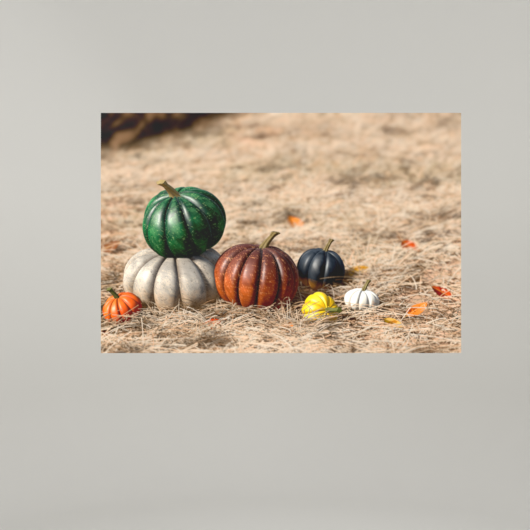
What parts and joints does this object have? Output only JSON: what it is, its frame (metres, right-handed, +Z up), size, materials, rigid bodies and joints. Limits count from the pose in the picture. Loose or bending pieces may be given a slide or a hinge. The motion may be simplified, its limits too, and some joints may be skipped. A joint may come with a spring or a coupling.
{
  "type": "wall print",
  "caption": "Unframed landscape picture sheet of matte self-adhesive vinyl with square-cut edges, stuck flat on a wall.",
  "frame": {"origin": "centre of the flat face that lies on the wall", "axes": "+X to the right of the picture as seen from the room, +Y into the wall, +Z up the wall"},
  "size_m": [0.9144, 0.0005, 0.6096],
  "materials": {
    "printed_film": "matte printed vinyl",
    "adhesive": "tacky off-white adhesive with fine air channels"
  },
  "bodies": {
    "root": {"print_film": "printed_film", "adhesive_coat": "adhesive"}
  },
  "joints": []
}
